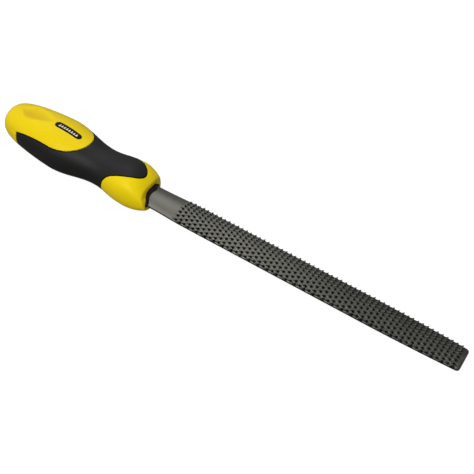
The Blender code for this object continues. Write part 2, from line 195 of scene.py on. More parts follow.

# Badge and the row of small triangles printed on it
BADGE_X = (-71.0, -52.4)
BADGE_ANGLE = 4.0
BADGE_HALF_WIDTH = 2.1
BADGE_THICKNESS = 0.7
BADGE_TURNS = range(6, 91, 6)    # degrees round each rounded end
BADGE_STRAIGHT = (-0.75, -0.5, -0.25, 0.0)
BADGE_HALF_STEPS = 6
BADGE_PROUD = 0.1
BADGE_BEVEL = 0.12
CUTTER_CLEAR = 1.5
MARK_COUNT = 8
MARK_HALF_HEIGHT = 1.0
MARK_PITCH = 1.75
MARK_CLEAR = 0.12            # room left at each end of a mark's base
MARK_LEAN = 0.35
MARK_PROUD = 0.04
MARK_SUNK = 0.1

# Mesh resolution
HALF_COLUMNS = 150
EDGE_STEPS = 4000            # fineness with which the colour breaks are measured out
BUTT_SHARES = (0.02, 0.06, 0.12, 0.2, 0.28, 0.36, 0.43, 0.5, 0.56, 0.61, 0.66, 0.7, 0.735)
PANEL_ROWS = 56
GRIP_ROWS = 56
COLLAR_ROWS = 40
HIDDEN_ROWS = 6
ROUNDING_STEPS = 4
TIP_STEPS = 9
SHARP_ANGLE = 38.0
SEED = 7


def lerp(start, end, share):
    return start + (end - start) * share


def clamp(value):
    return min(max(value, 0.0), 1.0)


def ease(share):
    return 0.5 - 0.5 * math.cos(math.pi * clamp(share))


def to_frame(point):
    x, y, z = point
    return (METRES * (x - ORIGIN_X), METRES * y, METRES * z)


# ---------------------------------------------------------------- mesh building

def loft(name, rings, tube=False):
    """Closed body through rings of equal length; a tube joins its last ring to its first."""
    count = len(rings[0])
    points = [to_frame(point) for ring in rings for point in ring]
    pairs = [(row, row + 1) for row in range(len(rings) - 1)]
    if tube:
        pairs.append((len(rings) - 1, 0))
    faces = []
    for row, following in pairs:
        for index in range(count):
            before = (index - 1) % count
            faces.append((row * count + before, row * count + index,
                          following * count + index, following * count + before))
    if not tube:
        faces.append(tuple(range(count)))
        faces.append(tuple(range(len(points) - count, len(points))))
    return make_piece(name, points, faces)


def make_piece(name, points, faces):
    mesh = bpy.data.meshes.new(name)
    mesh.from_pydata(points, [], faces)
    bm = bmesh.new()
    bm.from_mesh(mesh)
    bmesh.ops.recalc_face_normals(bm, faces=bm.faces)
    if bm.calc_volume(signed=True) < 0:      # a tube can come out of that inside out
        bmesh.ops.reverse_faces(bm, faces=bm.faces)
    bm.to_mesh(mesh)
    bm.free()
    mesh.shade_smooth()
    mesh.set_sharp_from_angle(angle=math.radians(SHARP_ANGLE))
    piece = bpy.data.objects.new(name, mesh)
    bpy.context.scene.collection.objects.link(piece)
    return piece


def add_painted_light(piece, values):
    """Painted light of each point, which the finish reads: painted shade above zero, a painted highlight
    below zero.
    """
    shade = piece.data.attributes.new("shade", "FLOAT", "POINT")
    shade.data.foreach_set("value", values)


def carve(piece, cutter):
    """Subtract the cutter from the piece for good, and drop the cutter."""
    modifier = piece.modifiers.new("pocket", "BOOLEAN")
    modifier.operation = "DIFFERENCE"
    modifier.solver = "EXACT"
    modifier.object = cutter
    depsgraph = bpy.context.evaluated_depsgraph_get()
    carved = bpy.data.meshes.new_from_object(piece.evaluated_get(depsgraph))
    piece.modifiers.clear()
    piece.data = carved
    carved.set_sharp_from_angle(angle=math.radians(SHARP_ANGLE))
    bpy.data.objects.remove(cutter, do_unlink=True)


# ---------------------------------------------------------------- blade

def blade_half_width(x):
    width = lerp(HEEL_WIDTH, BLADE_WIDTH, ease(x / HEEL_RUN))
    taper = clamp((x - TAPER_START) / (BLADE_LENGTH - TAPER_START))
    width -= (BLADE_WIDTH - TIP_WIDTH) * taper ** 2
    into_corner = TIP_CORNER * clamp((x - (BLADE_LENGTH - TIP_CORNER)) / TIP_CORNER)
    return width / 2 - TIP_CORNER + math.sqrt(TIP_CORNER ** 2 - into_corner ** 2)


def crown_height(x):
    taper = clamp((x - TAPER_START) / (BLADE_LENGTH - TAPER_START))
    return lerp(CROWN, TIP_CROWN, taper)


def tooth_relief(along, across):
    """Height above the face, in shares of a tooth, at a place counted from the tooth's point."""
    if along <= 0:
        climb = clamp(1 + along / TOOTH_RUN)
        half_width = lerp(TOOTH_BASE, TOOTH_POINT, climb)
        return climb ** TOOTH_CURVE * max(0.0, 1 - (abs(across) / half_width) ** TOOTH_FLANK)
    fade = clamp(along / PIT_RUN)
    half_width = lerp(PIT_WIDE, PIT_NARROW, fade)
    depth = PIT_DEPTH / TOOTH_HEIGHT * (1 - fade) ** PIT_FADE
    return -depth * max(0.0, 1 - (abs(across) / half_width) ** 2)


def tooth_painted_light(along, across):
    """Painted light round a tooth: 1 for painted shade on the steep front and in the pit, down to -1 for a
    painted highlight on the tooth's back.
    """
    if along < 0:
        return -clamp(1 + along / TOOTH_RUN) * max(0.0, 1 - (across / TOOTH_BASE) ** 2)
    fade = clamp((PAINTED_SHADE_END - along) / (PAINTED_SHADE_END - PAINTED_SHADE_RUN))
    return fade * max(0.0, 1 - (abs(across) / PAINTED_SHADE_HALF_WIDTH) ** 4)


def blade_section(x, growth=0.0, tooth=None):
    """Points round the D section: over the crown, down a land, back along the flat, up a land.

    tooth(face, column) gives the relief at a column position, its shift along X and its painted light:
    painted shade above zero, a painted highlight below. That painted light is each point's fourth number.
    """
    half_width = blade_half_width(x) + growth
    crown = crown_height(x)
    rise = SHOULDER_RISE * clamp(x / SHOULDER_X)
    radius = (half_width ** 2 + crown ** 2) / (2 * crown)
    half_angle = math.asin(half_width / radius)
    inset = 1 - LAND_ROUNDING / half_width
    samples = FACE_COLUMNS * SAMPLES_PER_COLUMN
    crown_points = []
    flat_points = []
    for sample in range(samples + 1):
        share = 2 * sample / samples - 1
        column = sample / SAMPLES_PER_COLUMN
        side = share * inset * half_angle
        edge_painted_shade = EDGE_PAINTED_SHADE if sample in (0, samples) else 0.0
        relief, shift, shade = tooth(0, column) if tooth else (0.0, 0.0, 0.0)
        reach = radius + TOOTH_HEIGHT * relief + growth
        crown_points.append((x + shift, reach * math.sin(side),
                             LAND + crown - radius + reach * math.cos(side), max(shade, edge_painted_shade)))
        relief, shift, shade = tooth(1, FACE_COLUMNS - column) if tooth else (0.0, 0.0, 0.0)
        flat_points.append((x + shift, -share * inset * half_width,
                            rise - growth - TOOTH_HEIGHT * relief, max(shade, edge_painted_shade)))
    upper, lower = LAND - LAND_ROUNDING, rise + LAND_ROUNDING
    # The edge lands get full painted shade.
    far_land = [(x, half_width, upper, 1.0), (x, half_width, lower, 1.0)]
    near_land = [(x, -half_width, lower, 1.0), (x, -half_width, upper, 1.0)]
    return crown_points + far_land + flat_points + near_land


def section_angles():
    """Angles of a round section's points, in the order of the blade section's points."""
    samples = FACE_COLUMNS * SAMPLES_PER_COLUMN
    crown = [FACE_SPAN * (0.5 - sample / samples) for sample in range(samples + 1)]
    flat = [degrees + 180.0 for degrees in crown]
    far_land = [-degrees for degrees in LAND_ANGLES]
    near_land = [degrees for degrees in reversed(LAND_ANGLES)]
    return [math.radians(degrees) for degrees in crown + far_land + flat + near_land]


def tang_section(x, growth=0.0):
    """Rounded-rectangle section of the tang."""
    share = clamp((x - TANG_ROOT_X) / (TANG_END_X - TANG_ROOT_X))
    half_width = lerp(TANG_ROOT[0], TANG_POINT[0], share) + growth
    half_height = lerp(TANG_ROOT[1], TANG_POINT[1], share) + growth
    ring = oval_ring(x, half_width, half_height, TANG_SQUARENESS, section_angles())
    return [(*point, 0.0) for point in ring]


def tooth_rows():
    """Sections through every row of teeth, with small differences from tooth to tooth."""
    scatter = random.Random(SEED)
    count = round((LAST_TOOTH_X - FIRST_TOOTH_X) / ROW_PITCH) + 1
    heights, shifts = [[[[scatter.uniform(-spread, spread) for _ in range(FACE_COLUMNS + 1)]
                         for _ in range(count)] for _ in range(2)]
                       for spread in (HEIGHT_SCATTER, PLACE_SCATTER)]

    def tooth(face, column, row, along):
        relief = 0.0
        shades = [0.0]
        for near_row in range(max(row - 1, 0), min(row + 2, count)):
            centre = 2 * round((column - 1 + near_row % 2) / 2) + 1 - near_row % 2
            if 0 <= centre <= FACE_COLUMNS:
                centre_column = min(max(centre, EDGE_COLUMN), FACE_COLUMNS - EDGE_COLUMN)
                place = (along + (row - near_row) * ROW_PITCH, column - centre_column)
                relief += tooth_relief(*place) * (1 + heights[face][near_row][centre])
                shades.append(tooth_painted_light(*place))
        # the strongest painted shade wins; where there is none, the strongest painted highlight
        shade = max(shades) if max(shades) > 0 else min(shades)
        nearest = min(max(round(column), 0), FACE_COLUMNS)
        shift = shifts[face][row][nearest] * clamp(1 - 2 * abs(column - nearest))
        return relief, shift, shade

    return [blade_section(FIRST_TOOTH_X + row * ROW_PITCH + along, 0.0, partial(tooth, row=row, along=along))
            for row in range(count) for along in ROW_STATIONS]


def build_blade():
    sections = [tang_section(x) for x in (TANG_END_X, lerp(TANG_END_X, TANG_ROOT_X, 0.5), TANG_ROOT_X)]
    sections += [blade_section(x) for x in (SHOULDER_X, *PLAIN_STATIONS)]
    sections += tooth_rows()
    corner_x = BLADE_LENGTH - TIP_CORNER
    reach = TIP_CORNER - TIP_ROUNDING
    for step in range(TIP_STEPS + 1):
        turn = math.pi / 2 * step / TIP_STEPS
        x = corner_x + reach * math.sin(turn)
        if x > sections[-1][0][0]:
            sections.append(blade_section(x))
    sections.append(blade_section(BLADE_LENGTH, -TIP_ROUNDING))
    blade = loft("blade", [[point[:3] for point in section] for section in sections])
    add_painted_light(blade, [point[3] for section in sections for point in section])
    return blade


# ---------------------------------------------------------------- handle surface

def axis_z(x):
    return AXIS_Z + AXIS_SLOPE * x


def oval_radius(angle, half_width, half_height, squareness):
    """Distance from an oval's centre to its outline at an angle from the top."""
    across = abs(math.sin(angle)) / half_width
    upward = abs(math.cos(angle)) / half_height
    return (across ** squareness + upward ** squareness) ** (-1 / squareness)


def oval_ring(x, half_width, half_height, squareness, angles):
    ring = []
    for angle in angles:
        radius = oval_radius(angle, half_width, half_height, squareness)
        ring.append((x, -radius * math.sin(angle), axis_z(x) + radius * math.cos(angle)))
    return ring


def body_radius(x):
    """Mean radius from the blunt butt over the belly and waist to the collar."""
    if x < BELLY_X:
        share = clamp((BELLY_X - x) / (BELLY_X - BUTT_X))
        return BELLY_RADIUS * (1 - share ** BUTT_BLUNTNESS[0]) ** BUTT_BLUNTNESS[1]
    if x < WAIST_X:
        return lerp(BELLY_RADIUS, WAIST_RADIUS, ease((x - BELLY_X) / (WAIST_X - BELLY_X)))
    return lerp(WAIST_RADIUS, COLLAR_RADIUS, ease((x - WAIST_X) / (COLLAR_X - WAIST_X)))


def butt_station(radius_share):
    """The x where the butt's radius is this share of the belly's."""
    share = (1 - radius_share ** (1 / BUTT_BLUNTNESS[1])) ** (1 / BUTT_BLUNTNESS[0])
    return lerp(BELLY_X, BUTT_X, share)


def closed_curve(knots):
    """Smooth function of an angle round the handle that passes through the (degrees, value) knots."""
    turned = [(degrees + turn, value) for turn in (-360.0, 0.0, 360.0) for degrees, value in knots]

    def curve(angle):
        degrees = math.degrees(math.remainder(angle, 2 * math.pi))
        after = next(index for index, (place, _) in enumerate(turned) if place >= degrees)
        before, start, end, following = turned[after - 2:after + 2]
        width = end[0] - start[0]
        share = (degrees - start[0]) / width
        leave = width * (end[1] - before[1]) / (end[0] - before[0])
        arrive = width * (following[1] - start[1]) / (following[0] - start[0])
        rise = share ** 2 * (3 - 2 * share)
        return (lerp(start[1], end[1], rise) + leave * share * (1 - share) ** 2
                - arrive * share ** 2 * (1 - share))

    return curve


rim_x = closed_curve(RIM_KNOTS)
lining_x = closed_curve(LINING_KNOTS)


def body_section(x, angle):
    """Half width, half height and squareness of the outline that passes through x at this angle."""
    radius = body_radius(x)
    nose = clamp((x - COLLAR_X) / (rim_x(angle) - COLLAR_X))
    fullness = 1 - nose ** COLLAR_NOSE
    half_width = lerp(MOUTH_HALF_WIDTH, radius * SIDE_STRETCH, fullness)
    half_height = lerp(MOUTH_HALF_HEIGHT, radius * TOP_STRETCH, fullness)
    return half_width, half_height, lerp(BODY_SQUARENESS, MOUTH_SQUARENESS, nose)


def scoop_depth(x, angle):
    """Depth of the teardrop scoop: wide near the butt, narrowing to a point in front."""
    along = (x - SCOOP_X[0]) / (SCOOP_X[1] - SCOOP_X[0])
    if not 0 < along < 1:
        return 0.0
    if along < SCOOP_WIDE_AT:
        width = math.sin(math.pi / 2 * along / SCOOP_WIDE_AT)
    else:
        width = math.cos(math.pi / 2 * (along - SCOOP_WIDE_AT) / (1 - SCOOP_WIDE_AT))
    degrees = abs(math.degrees(math.remainder(angle, 2 * math.pi)))
    across = degrees / (SCOOP_HALF_ANGLE * max(width, SCOOP_POINT))
    return SCOOP_DEPTH * width * max(0.0, 1 - across ** 2) ** SCOOP_ROUNDNESS


def scoop_painted_shade(x, angle):
    """Painted shade inside the scoop, strongest against its near wall."""
    across = math.degrees(math.remainder(angle, 2 * math.pi)) / SCOOP_HALF_ANGLE
    return scoop_depth(x, angle) / SCOOP_DEPTH * clamp(SCOOP_MIDDLE_PAINTED_SHADE + SCOOP_SIDE_PAINTED_SHADE * across)


def surface_point(x, angle, inset=0.0):
    radius = oval_radius(angle, *body_section(x, angle)) - inset - scoop_depth(x, angle)
    return (x, -radius * math.sin(angle), axis_z(x) + radius * math.cos(angle))


def surface_ring(edge, inset=0.0):
    return [surface_point(x, angle, inset) for x, angle in edge]


def between(first, second, share):
    return [(lerp(a[0], b[0], share), lerp(a[1], b[1], share)) for a, b in zip(first, second)]


# ---------------------------------------------------------------- colour breaks

def panel_edge(travel):
    """(x, degrees) along half of the rear panel's edge.

    A travel of 0 to 1 is its nose, 1 to 2 its flank, and 2 to 3 underneath.
    """
    if travel <= 1:
        turn = math.pi / 2 * travel
        reach = max(math.cos(turn), 0.0) ** (2 / PANEL_SQUARENESS)
        spread = math.sin(turn) ** (2 / PANEL_SQUARENESS)
        return lerp(PANEL_WIDE_X, PANEL_TIP_X, reach), PANEL_HALF_ANGLE * spread
    if travel <= 2:
        share = travel - 1
        angle = lerp(PANEL_HALF_ANGLE, PANEL_CORNER_ANGLE, share ** FLANK_POWER)
        return lerp(PANEL_WIDE_X, GRIP_REAR_X, share), angle
    return GRIP_REAR_X, lerp(PANEL_CORNER_ANGLE, 180.0, travel - 2)


def lobe_edge_x(degrees):
    """The grip's front edge: a lobe on the top line that falls back to the side tongues."""
    turned = degrees ** LOBE_POWER
    fall = turned / (turned + LOBE_HALF_ANGLE ** LOBE_POWER)
    under = ease((degrees - UNDERSIDE_ANGLE) / (180.0 - UNDERSIDE_ANGLE))
    nose = LOBE_NOSE * ease(degrees / LOBE_NOSE_ANGLE)
    return lerp(LOBE_TIP_X, TONGUE_X, fall) - nose + UNDERSIDE_ADVANCE * under


def half_edge():
    """(x, degrees) for the columns of one side, spaced evenly along both colour breaks."""
    steps = [panel_edge(3 * step / EDGE_STEPS) for step in range(EDGE_STEPS + 1)]
    lengths = [0.0]
    for (x, angle), (next_x, next_angle) in zip(steps, steps[1:]):
        lobe_step = lobe_edge_x(next_angle) - lobe_edge_x(angle)
        arc_step = MM_PER_DEGREE * (next_angle - angle)
        lengths.append(lengths[-1] + math.hypot(next_x - x, lobe_step, arc_step))
    places = []
    index = 0
    for column in range(HALF_COLUMNS):
        wanted = lengths[-1] * column / HALF_COLUMNS
        while lengths[index] < wanted:
            index += 1
        places.append(steps[index])
    places.append(steps[-1])
    nearest = min(range(1, HALF_COLUMNS), key=lambda column: abs(places[column][1] - PANEL_CORNER_ANGLE))
    places[nearest] = (GRIP_REAR_X, PANEL_CORNER_ANGLE)
    return places


def break_edges():
    """The rear and front colour breaks all round, as (x, angle) for each column."""
    near_side = half_edge()
    far_side = [(x, 360.0 - degrees) for x, degrees in reversed(near_side[1:-1])]
    rear = [(x, math.radians(degrees)) for x, degrees in near_side + far_side]
    front = []
    for _, angle in rear:
        turned = math.remainder(angle + math.radians(LOBE_TURN), 2 * math.pi)
        front.append((lobe_edge_x(abs(math.degrees(turned))), angle))
    return rear, front


def shift_edge(edge, distance):
    """Move an edge sideways along the surface; a positive distance moves it forward."""
    moved = []
    arc = math.degrees(1.0) * MM_PER_DEGREE
    for index, (x, angle) in enumerate(edge):
        x_before, angle_before = edge[index - 1]
        x_after, angle_after = edge[(index + 1) % len(edge)]
        run = math.remainder(angle_after - angle_before, 2 * math.pi) * arc
        rise = x_after - x_before
        length = math.hypot(run, rise)
        moved.append((x + distance * run / length, angle - distance * rise / length / arc))
    return moved


def rounded_rim(edge, radius, side, sink=0.0):
    """Rings that roll from the surface over a rounded rim at the edge.

    side is -1 for a rim behind the edge and 1 for one in front of it.
    """
    rings = []
    for step in range(ROUNDING_STEPS + 1):
        turn = math.pi / 2 * step / ROUNDING_STEPS
        back = side * radius * (1 - math.sin(turn))
        rings.append(surface_ring(shift_edge(edge, back), sink + radius * (1 - math.cos(turn))))
    return rings


# ---------------------------------------------------------------- handle pieces

def opening_ring(stations, angles, growth):
    """The mouth opening: the blade's D outline, grown, met by a ray at each column's angle."""
    base_width = blade_half_width(0.0)
    half_width = base_width + growth
    radius = (base_width ** 2 + CROWN ** 2) / (2 * CROWN)
    arc_offset = LAND + CROWN - radius - AXIS_Z
    arc_radius = radius + growth
    ring = []
    for x, angle in zip(stations, angles):
        across = abs(math.sin(angle))
        upward = math.cos(angle)
        along = upward * arc_offset
        reach = along + math.sqrt(along ** 2 - arc_offset ** 2 + arc_radius ** 2)
        if across > 0:
            reach = min(reach, half_width / across)
        if upward < 0:
            reach = min(reach, (AXIS_Z + growth) / -upward)
        ring.append((x, -reach * math.sin(angle), AXIS_Z + reach * upward))
    return ring


def mouth_rings(angles):
    """The rounded outer lip of the mouth, its rim, then the way in to the blind end of the bore."""
    rings = []
    for step in range(1, ROUNDING_STEPS + 1):
        turn = math.pi / 2 * step / ROUNDING_STEPS
        back = MOUTH_LIP * (math.sin(turn) - 1)
        drop = MOUTH_LIP * (1 - math.cos(turn))
        rings.append(surface_ring([(rim_x(angle) + back, angle) for angle in angles], drop))
    for step in range(ROUNDING_STEPS + 1):
        turn = math.pi / 2 * step / ROUNDING_STEPS
        growth = OPENING_GROWTH + OPENING_ROUNDING * (1 - math.sin(turn))
        back = OPENING_ROUNDING * (1 - math.cos(turn))
        rings.append(opening_ring([rim_x(angle) - back for angle in angles], angles, growth))
    rings.append(opening_ring([LINING_REAR_X - GAP] * len(angles), angles, OPENING_GROWTH))
    for x, (half_width, half_height) in ((LINING_REAR_X, ROD_START), (ROD_END_X, ROD_END)):
        rings.append(oval_ring(x - GAP, half_width + GAP, half_height + GAP, ROD_SQUARENESS, angles))
    return rings


def build_shell():
    rear, front = break_edges()
    angles = [angle for _, angle in rear]
    rings = [surface_ring([(butt_station(share), angle) for angle in angles]) for share in BUTT_SHARES]
    last_butt = [(butt_station(BUTT_SHARES[-1]), angle) for angle in angles]
    panel_end = shift_edge(rear, -SHELL_ROUNDING)
    rings += [surface_ring(between(last_butt, panel_end, row / PANEL_ROWS)) for row in range(1, PANEL_ROWS)]
    rings += rounded_rim(rear, SHELL_ROUNDING, -1)
    rings += [surface_ring(between(rear, front, row / HIDDEN_ROWS), RECESS_DEPTH)
              for row in range(HIDDEN_ROWS + 1)]
    rings += reversed(rounded_rim(front, SHELL_ROUNDING, 1))
    collar_start = shift_edge(front, SHELL_ROUNDING)
    lip = [(rim_x(angle) - MOUTH_LIP, angle) for angle in angles]
    rings += [surface_ring(between(collar_start, lip, row / COLLAR_ROWS))
              for row in range(1, COLLAR_ROWS + 1)]
    rings += mouth_rings(angles)
    shell = loft("shell", rings)
    carve(shell, badge_body("badge_cutter", GAP, -CUTTER_CLEAR, BADGE_THICKNESS + GAP))
    # Painted shade in the thumb scoop, worked out for each point of the carved shell
    shades = []
    for vertex in shell.data.vertices:
        x, y, z = vertex.co / METRES
        x += ORIGIN_X
        shades.append(scoop_painted_shade(x, math.atan2(-y, z - axis_z(x))))
    add_painted_light(shell, shades)
    return shell


def build_grip():
    rear, front = break_edges()
    rear = shift_edge(rear, GAP)
    front = shift_edge(front, -GAP)
    first = shift_edge(rear, GRIP_ROUNDING)
    last = shift_edge(front, -GRIP_ROUNDING)
    rings = list(reversed(rounded_rim(rear, GRIP_ROUNDING, 1, GRIP_SINK)))
    rings += [surface_ring(between(first, last, row / GRIP_ROWS), GRIP_SINK) for row in range(1, GRIP_ROWS)]
    rings += rounded_rim(front, GRIP_ROUNDING, -1, GRIP_SINK)
    rings += [surface_ring(between(front, rear, row / HIDDEN_ROWS), RECESS_DEPTH - GAP)
              for row in range(HIDDEN_ROWS + 1)]
    grip = loft("grip", rings, tube=True)
    # Painted shade: full on the rounded rims that run down into the grooves at both colour breaks and on the
    # hidden rows, none on the open grip
    rim = ROUNDING_STEPS + 1
    shades = [1.0] * (rim - 1) + [0.0] * (GRIP_ROWS + 1) + [1.0] * (rim - 1 + HIDDEN_ROWS + 1)
    add_painted_light(grip, [shade for shade, ring in zip(shades, rings) for _ in ring])
    return grip


def build_core():
    """The tang's insert: a rod with a blind tang hole, and a lining that stands out round the blade."""
    angles = section_angles()
    outside = [
        oval_ring(ROD_END_X, *ROD_END, ROD_SQUARENESS, angles),
        oval_ring(LINING_REAR_X, *ROD_START, ROD_SQUARENESS, angles),
        lining_ring(LINING_GROWTH, 0.0, LINING_REAR_X),
        lining_ring(LINING_GROWTH, -LINING_ROUNDING),
        lining_ring(LINING_GROWTH - LINING_ROUNDING, 0.0),
        lining_ring(GAP, 0.0),
    ]
    inside = [blade_section(SHOULDER_X - GAP, GAP)]
    inside += [tang_section(x, GAP) for x in (TANG_ROOT_X - GAP, TANG_END_X)]
    inside.append(tang_section(TANG_END_X - GAP))
    return loft("core", outside + [[point[:3] for point in section] for section in inside])


def lining_ring(growth, ahead, station=None):
    """Ring round the blade at a station, or along the lining's front."""
    ring = []
    for _, y, z, _ in blade_section(0.0, growth):
        front = lining_x(math.atan2(-y, z - AXIS_Z)) + ahead
        ring.append((front if station is None else station, y, z))
    return ring


# ---------------------------------------------------------------- badge

def badge_point(along, across, inset):
    """A place on the badge, measured in mm from its centre along and across it."""
    x = (BADGE_X[0] + BADGE_X[1]) / 2 + along
    return surface_point(x, math.radians(BADGE_ANGLE + across / MM_PER_DEGREE), inset)


def badge_body(name, growth, outer_inset, inner_inset):
    """Stadium-shaped slab that follows the handle's surface between two insets."""
    half_length = (BADGE_X[1] - BADGE_X[0]) / 2 + growth
    half_width = BADGE_HALF_WIDTH + growth
    straight = half_length - half_width
    stations = [(-straight - half_width * math.cos(turn), half_width * math.sin(turn))
                for turn in [math.radians(degrees) for degrees in BADGE_TURNS]]
    stations += [(straight * share, half_width) for share in BADGE_STRAIGHT]
    stations += [(-x, width) for x, width in reversed(stations[:-1])]
    steps = [step / BADGE_HALF_STEPS - 1 for step in range(2 * BADGE_HALF_STEPS + 1)]
    rings = []
    for along, width in stations:
        outer = [badge_point(along, side * width, outer_inset) for side in steps]
        inner = [badge_point(along, side * width, inner_inset) for side in reversed(steps)]
        rings.append(outer + inner)
    return loft(name, rings)


def build_badge():
    badge = badge_body("badge_plate", 0.0, -BADGE_PROUD, BADGE_THICKNESS)
    bevel = badge.modifiers.new("rim", "BEVEL")
    bevel.width = METRES * BADGE_BEVEL
    bevel.segments = 2
    bevel.limit_method = "ANGLE"
    return badge


def build_badge_marks():
    """A row of leaning triangles, like a side view of the teeth."""
    points = []
    faces = []
    for mark in range(MARK_COUNT):
        centre = MARK_PITCH * (mark - (MARK_COUNT - 1) / 2)
        corners = [(centre - MARK_PITCH / 2 + MARK_CLEAR, -MARK_HALF_HEIGHT),
                   (centre + MARK_PITCH / 2 - MARK_CLEAR, -MARK_HALF_HEIGHT),
                   (centre + MARK_LEAN, MARK_HALF_HEIGHT)]
        start = len(points)
        for inset in (-BADGE_PROUD - MARK_PROUD, -BADGE_PROUD + MARK_SUNK):
            points += [to_frame(badge_point(along, -across, inset)) for along, across in corners]
        top = (start, start + 1, start + 2)
        bottom = (start + 5, start + 4, start + 3)
        sides = [(start + side, start + (side + 1) % 3, start + 3 + (side + 1) % 3, start + 3 + side)
                 for side in range(3)]
        faces += [top, bottom, *sides]
    return make_piece("badge_marks", points, faces)


# ---------------------------------------------------------------- materials

class Finish:
    """A node material whose inputs are built up from noise, masks and mixes."""

    def __init__(self, name):
        self.material = bpy.data.materials.new(name)
        self.material.use_nodes = True
        self.tree = self.material.node_tree
        self.shader = self.tree.nodes["Principled BSDF"]
        self.place = self.add("ShaderNodeTexCoord").outputs["Object"]

    def add(self, kind, **settings):
        node = self.tree.nodes.new(kind)
        for key, value in settings.items():
            setattr(node, key, value)
        return node

    def plug(self, socket, value):
        if isinstance(value, bpy.types.NodeSocket):
            self.tree.links.new(value, socket)
        else:
            socket.default_value = value

    def noise(self, scale, detail=2.0, stretch=(1.0, 1.0, 1.0), roughness=0.5):
        """Noise over the object; scale is in waves per metre."""
        mapping = self.add("ShaderNodeMapping")
        self.plug(mapping.inputs["Vector"], self.place)
        mapping.inputs["Scale"].default_value = stretch
        noise = self.add("ShaderNodeTexNoise")
        self.plug(noise.inputs["Vector"], mapping.outputs["Vector"])
        noise.inputs["Scale"].default_value = scale
        noise.inputs["Detail"].default_value = detail
        noise.inputs["Roughness"].default_value = roughness
        return noise.outputs["Fac"]

    def remap(self, value, low, high, out_low=0.0, out_high=1.0, smooth=False):
        node = self.add("ShaderNodeMapRange", interpolation_type="SMOOTHSTEP" if smooth else "LINEAR")
        self.plug(node.inputs["Value"], value)
        for key, number in (("From Min", low), ("From Max", high), ("To Min", out_low), ("To Max", out_high)):
            node.inputs[key].default_value = number
        return node.outputs["Result"]

    def maths(self, operation, first, second=0.0):
        node = self.add("ShaderNodeMath", operation=operation)
        self.plug(node.inputs[0], first)
        self.plug(node.inputs[1], second)
        return node.outputs["Value"]

    def mix(self, share, first, second):
        node = self.add("ShaderNodeMix", data_type="RGBA")
        self.plug(node.inputs["Factor"], share)
        colours = [socket for socket in node.inputs if socket.type == "RGBA"]
        self.plug(colours[0], first)
        self.plug(colours[1], second)
        return next(socket for socket in node.outputs if socket.type == "RGBA")

    def bump(self, height, distance, strength=1.0, below=None):
        """Bump whose full height is distance, in mm, over another bump if one is given."""
        node = self.add("ShaderNodeBump")
        self.plug(node.inputs["Height"], height)
        node.inputs["Distance"].default_value = METRES * distance
        node.inputs["Strength"].default_value = strength
        if below is not None:
            self.plug(node.inputs["Normal"], below)
        return node.outputs["Normal"]

    def axis(self, vector, name):
        node = self.add("ShaderNodeSeparateXYZ")
        self.plug(node.inputs["Vector"], vector)
        return node.outputs[name]

    def set(self, **inputs):
        for key, value in inputs.items():
            self.plug(self.shader.inputs[key.replace("_", " ")], value)
        return self.material


def grey(value, warmth=0.0):
    return (value * (1 + warmth), value, value * (1 - warmth), 1.0)


def steel_finish():
    """Dark ground tool steel with a smooth heel; painted highlights on the tooth backs, and painted shade on
    the steep fronts, in the pits, along the edges and on every steeply standing face.
    """
    finish = Finish("punched_tool_steel")
    station = finish.axis(finish.place, "X")
    towards_tip = finish.remap(station, METRES * 30.0, METRES * 150.0, smooth=True)
    blotches = finish.noise(90.0, 4.0)
    fine = finish.noise(1400.0, 4.0, roughness=0.65)
    lines = finish.noise(260.0, 3.0, stretch=(1.0, 26.0, 26.0))
    base = finish.mix(towards_tip, (0.135, 0.134, 0.115, 1.0), (0.042, 0.043, 0.035, 1.0))
    base = finish.mix(finish.remap(blotches, 0.35, 0.7, 0.0, 0.3), base, (0.085, 0.083, 0.075, 1.0))
    base = finish.mix(finish.remap(fine, 0.45, 0.75, 0.0, 0.25), base, (0.26, 0.26, 0.24, 1.0))
    shade = finish.add("ShaderNodeAttribute", attribute_name="shade").outputs["Fac"]
    # Painted highlight on the tooth backs, then painted shade on the steep fronts, in the pits and along the
    # edges
    base = finish.mix(finish.remap(shade, -0.35, -0.9, 0.0, 0.3), base, (0.42, 0.42, 0.38, 1.0))
    base = finish.mix(finish.remap(shade, 0.1, 0.8), base, grey(0.006))
    # Painted shade: faces that stand steeply, such as the edge lands and tooth fronts, are darkened towards
    # black.
    normal = finish.add("ShaderNodeNewGeometry").outputs["True Normal"]
    upright = finish.maths("ABSOLUTE", finish.axis(normal, "Z"))
    side = finish.remap(upright, 0.45, 0.2)
    base = finish.mix(side, base, grey(0.01))
    roughness = finish.remap(fine, 0.3, 0.8, 0.36, 0.54)
    normal = finish.bump(lines, 0.012, 0.6)
    normal = finish.bump(fine, 0.02, 0.5, normal)
    return finish.set(Base_Color=base, Metallic=0.85, Roughness=roughness, Normal=normal)


